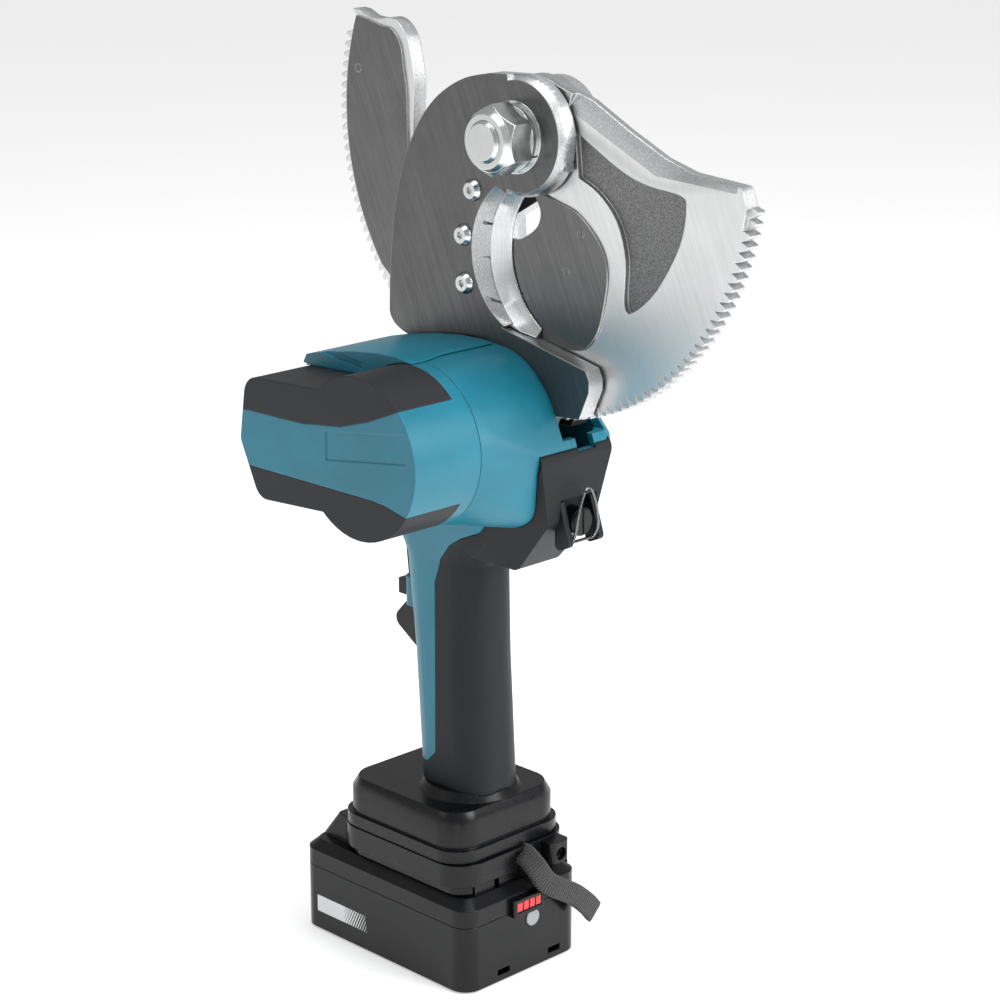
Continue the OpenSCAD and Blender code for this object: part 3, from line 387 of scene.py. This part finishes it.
MATERIAL_OF = {
    TEAL: ["housing_left", "housing_right", "motor_cover", "top_lid"],
    SOFT: ["upper_bumper", "lower_bumper"],
    GRIP: ["grip_rubber", "grip_pad", "front_trim", "release_bracket"],
    BLACK: ["foot_upper", "foot_lower", "trigger", "reverse_lever", "battery_top", "latch_button"],
    GLOSS: ["battery_case", "gauge_frame", "release_knob"],
    INNER: ["switch_body", "terminal_block"],
    GREY: ["check_button"],
    BOARD: ["control_board", "battery_board"],
    SLEEVE: ["battery_cells"],
    PLATE: ["near_plate", "far_plate"],
    EDGE: ["moving_blade", "blade_rivets"],
    CARRIER: ["blade_carrier"],
    RING: ["fixed_blade"],
    ZINC: [
        "fixed_blade_screws", "head_bolts", "pivot_bolt", "pivot_nut", "spring_washer", "flat_washer",
        "housing_screws",
    ],
    WIRE: ["wire_bail", "trigger_spring", "latch_spring"],
    BRONZE: ["pivot_bush", "battery_contacts"],
    COPPER: ["motor_stator"],
    CAST: ["drive_frame"],
    RED: ["gauge_bars"],
    GEAR: [
        "motor_rotor", "rotor_bearings", "motor_end_plate", "ring_gear", "planet_gear_1",
        "planet_gear_2", "planet_gear_3", "planet_carrier", "crank_gear", "crank_bearings", "drive_pawl",
        "holding_pawl", "holding_pawl_pin",
    ],
}


# ---- CAD nodes ----


def smoothing_group():
    """Geometry nodes that join a CAD mesh's split corners and keep only its real edges sharp."""
    group = bpy.data.node_groups.new("join_and_smooth", "GeometryNodeTree")
    group.interface.new_socket("Geometry", in_out="INPUT", socket_type="NodeSocketGeometry")
    group.interface.new_socket("Geometry", in_out="OUTPUT", socket_type="NodeSocketGeometry")
    start = add(group, "NodeGroupInput").outputs[0]
    joined = add(group, "GeometryNodeMergeByDistance", {"Geometry": start, "Distance": WELD_DISTANCE}).outputs[0]
    smooth = add(group, "GeometryNodeSetShadeSmooth", {"Geometry": joined, "Shade Smooth": True}).outputs[0]
    angle = add(group, "GeometryNodeInputMeshEdgeAngle").outputs["Unsigned Angle"]
    sharp = add(group, "FunctionNodeCompare", {0: angle, 1: SMOOTH_ANGLE}, operation="GREATER_THAN").outputs[0]
    edged = add(
        group,
        "GeometryNodeSetShadeSmooth",
        {"Geometry": smooth, "Selection": sharp, "Shade Smooth": False},
        domain="EDGE",
    ).outputs[0]
    add(group, "NodeGroupOutput", {"Geometry": edged})
    return group


SMOOTHING = smoothing_group()
for material, names in MATERIAL_OF.items():
    for name in names:
        node = NODES[name]
        node.data.materials.clear()
        node.data.materials.append(material)
        if "custom_normal" in node.data.attributes:
            node.data.attributes.remove(node.data.attributes["custom_normal"])
        node.modifiers.new("join_and_smooth", "NODES").node_group = SMOOTHING
        weighted = node.modifiers.new("even_normals", "WEIGHTED_NORMAL")
        weighted.keep_sharp = True


# ---- Pieces ----


def new_object(name, mesh, material, body):
    made = bpy.data.objects.new(name, mesh)
    bpy.context.scene.collection.objects.link(made)
    mesh.materials.append(material)
    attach(made, body)
    return made


def smooth_path(points, steps):
    """Points along a Catmull-Rom curve through the given ones."""
    ends = [points[0] * 2 - points[1]] + points + [points[-1] * 2 - points[-2]]
    line = []
    for a, b, c, d in zip(ends, ends[1:], ends[2:], ends[3:]):
        for i in range(steps):
            t = i / steps
            line.append(
                0.5
                * (2 * b + (c - a) * t + (2 * a - 5 * b + 4 * c - d) * t**2 + (3 * b - a - 3 * c + d) * t**3)
            )
    return line + [points[-1]]


def band_mesh(name, line, faces, width, thickness):
    """Flat band along a line. faces holds the outward direction of its flat side at each point."""
    mesh = bpy.data.meshes.new(name)
    shape = bmesh.new()
    across = 8
    rings, runs, run = [], [], 0.0
    for i, centre in enumerate(line):
        along = (line[min(i + 1, len(line) - 1)] - line[max(i - 1, 0)]).normalized()
        side = along.cross(faces[i]).normalized()
        up = side.cross(along).normalized()
        if i:
            run += (centre - line[i - 1]).length
        ring = []
        for sign in (1, -1):
            for k in range(across + 1):
                share = (k / across - 0.5) * sign
                thin = 1.0 - 0.55 * abs(2 * share) ** 6
                ring.append(shape.verts.new(centre + side * share * width + up * sign * thin * thickness / 2))
        rings.append(ring)
        runs.append(run)
    uv = shape.loops.layers.uv.new("band")
    count = 2 * (across + 1)
    for i in range(len(rings) - 1):
        for k in range(count):
            after = (k + 1) % count
            face = shape.faces.new([rings[i][k], rings[i][after], rings[i + 1][after], rings[i + 1][k]])
            face.smooth = True
            places = ((runs[i], k), (runs[i], k + 1), (runs[i + 1], k + 1), (runs[i + 1], k))
            for loop, (r, j) in zip(face.loops, places):
                loop[uv].uv = (r, (j % (across + 1)) / across * width)
    shape.faces.new(list(reversed(rings[0])))
    shape.faces.new(rings[-1])
    bmesh.ops.recalc_face_normals(shape, faces=shape.faces)
    shape.to_mesh(mesh)
    shape.free()
    return mesh


def strap():
    """Wrist strap: a band folded into a loop that comes out of the slot in the foot."""
    width, thickness, apart = 10.4 * MM, 1.2 * MM, 2.0 * MM
    outward = Vector((-0.12, -1.0, 0.2)).normalized()
    places = ((3.4, -51, 57.4), (3.6, -55.5, 57.2), (5, -60.5, 52.5), (9, -63, 45), (16.5, -64.4, 39.5),
              (25, -65.4, 34.2), (33, -65.8, 27.2), (38.2, -65.6, 21.4))
    outer = [Vector(p) * MM for p in places]
    back = [p - outward * apart for p in outer]
    turn = outer[-1] + (outer[-1] - outer[-2]).normalized() * 1.6 * MM - outward * apart / 2
    front = smooth_path(outer, 8)
    rear = smooth_path(back, 8)
    line = front + [turn] + list(reversed(rear))
    faces = [outward] * len(front) + [(outer[-1] - outer[-2]).normalized()] + [-outward] * len(rear)
    mesh = band_mesh("wrist_strap_band", line, faces, width, thickness)
    made = new_object("wrist_strap_band", mesh, webbing("webbing"), "frame")
    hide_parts("wrist_strap")
    return made


def stripe():
    """Generic pale stripe printed on the battery's left side."""
    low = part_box("battery_case")[0]
    start, run = 0.0455, 0.036
    bottom, top = 0.0100, 0.0182
    mesh = bpy.data.meshes.new("battery_stripe")
    shape = bmesh.new()
    x = low.x
    outline = [(start, bottom), (start - run, bottom), (start - run + 0.002, top), (start, top)]
    front = [shape.verts.new((x - 0.00008, y, z)) for y, z in outline]
    rear = [shape.verts.new((x + 0.0003, y, z)) for y, z in outline]
    shape.faces.new(front)
    shape.faces.new(list(reversed(rear)))
    for i in range(4):
        shape.faces.new([front[i], rear[i], rear[(i + 1) % 4], front[(i + 1) % 4]])
    bmesh.ops.recalc_face_normals(shape, faces=shape.faces)
    shape.to_mesh(mesh)
    shape.free()
    return new_object("battery_stripe", mesh, marking("printed_stripe", start, run), "battery")


def soft_spring():
    """The latch spring's own coil, as a copy of the CAD spring's mesh."""
    node = NODES["latch_spring"]
    made = new_object("latch_spring_coil", node.data.copy(), WIRE, "battery")
    made.matrix_world = node.matrix_world.copy()
    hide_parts("latch_spring")
    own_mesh(made)
    return made


strap()
stripe()
soft_spring()


# ---- Stage ----


def floor():
    mesh = bpy.data.meshes.new("floor")
    size = 12.0
    mesh.from_pydata(
        [(-size, -size, 0), (size, -size, 0), (size, size, 0), (-size, size, 0)], [], [(0, 1, 2, 3)]
    )
    made = bpy.data.objects.new("floor", mesh)
    bpy.context.scene.collection.objects.link(made)
    material, tree, shader = new_material("floor_paper")
    tone = noise(tree, position(tree), 3.0, 2.0)
    tree.links.new(mix(tree, tone, linear(247, 247, 247), linear(251, 251, 251)), shader.inputs["Base Color"])
    shader.inputs["Roughness"].default_value = 0.9
    shader.inputs["Emission Color"].default_value = (1.0, 1.0, 1.0, 1.0)
    shader.inputs["Emission Strength"].default_value = 0.42
    mesh.materials.append(material)


def area_light(name, place, target, size, watts):
    data = bpy.data.lights.new(name, "AREA")
    data.shape = "RECTANGLE"
    data.size, data.size_y = size
    data.energy = watts
    made = bpy.data.objects.new(name, data)
    bpy.context.scene.collection.objects.link(made)
    made.location = place
    made.rotation_euler = (Vector(target) - Vector(place)).to_track_quat("-Z", "Y").to_euler()


def camera():
    data = bpy.data.cameras.new("camera")
    data.sensor_width = 36.0
    data.lens = 96.404
    data.clip_start, data.clip_end = 0.05, 50.0
    made = bpy.data.objects.new("camera", data)
    bpy.context.scene.collection.objects.link(made)
    azimuth, elevation = math.radians(-44.68), math.radians(16.54)
    back = Vector((
        math.sin(azimuth) * math.cos(elevation),
        -math.cos(azimuth) * math.cos(elevation),
        math.sin(elevation),
    ))
    made.location = (-0.80309, -0.853, 0.56496)
    made.rotation_euler = (-back).to_track_quat("-Z", "Y").to_euler()
    bpy.context.scene.camera = made


def world():
    made = bpy.data.worlds.new("studio")
    bpy.context.scene.world = made
    made.use_nodes = True
    made.node_tree.nodes["Background"].inputs["Color"].default_value = (1.0, 1.0, 1.0, 1.0)
    made.node_tree.nodes["Background"].inputs["Strength"].default_value = 0.42


floor()
world()
camera()
middle = (0.0, -0.04, 0.24)
area_light("key", (0.45, -1.55, 1.0), middle, (0.9, 1.1), 26.0)
area_light("fill", (-1.6, 0.5, 0.9), middle, (0.8, 0.8), 3.0)
area_light("top", (0.0, -0.2, 1.9), middle, (1.2, 1.2), 16.0)
bpy.context.scene.view_settings.view_transform = "Standard"
